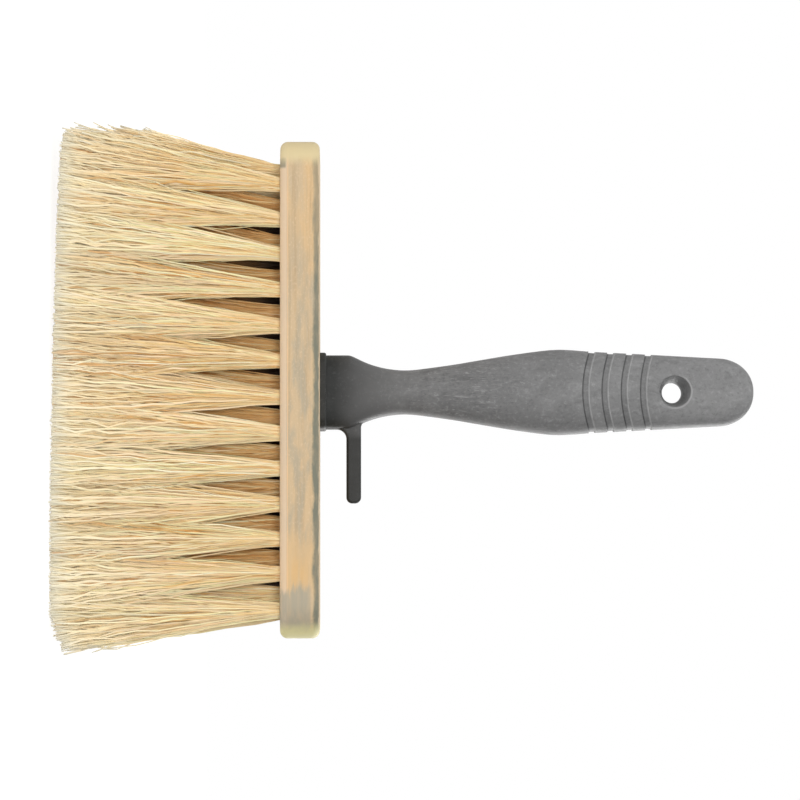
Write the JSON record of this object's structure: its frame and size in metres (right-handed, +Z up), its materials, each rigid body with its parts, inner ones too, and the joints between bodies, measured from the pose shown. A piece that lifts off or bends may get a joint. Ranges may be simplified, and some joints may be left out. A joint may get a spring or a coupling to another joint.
{
  "type": "block brush",
  "caption": "Flat block brush: wooden block with staggered rows of plant-fibre tufts, grey plastic grip with finger grooves, a bucket hook and a hang hole.",
  "frame": {"origin": "on the surface that the brush stands on, under the middle of its trimmed tips", "axes": "+Z up the handle away from the tips, +X along the block towards the hook's side, +Y across the block, away from the side that the picture shows"},
  "size_m": [0.1802, 0.0758, 0.2427],
  "materials": {
    "planed_wood": "bare planed softwood",
    "plant_fibre": "natural undyed fibre",
    "grey_plastic": "fine satin moulding",
    "steel": "zinc plated"
  },
  "bodies": {
    "root": {"block": "planed_wood", "handle": "grey_plastic", "handle_screw_front": "steel", "handle_screw_rear": "steel", "tuft_row_1": "plant_fibre", "tuft_row_2": "plant_fibre", "tuft_row_3": "plant_fibre", "tuft_row_4": "plant_fibre", "tuft_row_5": "plant_fibre", "tuft_row_6": "plant_fibre", "wire_anchors_1": "steel", "wire_anchors_2": "steel", "wire_anchors_3": "steel", "wire_anchors_4": "steel", "wire_anchors_5": "steel", "wire_anchors_6": "steel"}
  },
  "joints": []
}
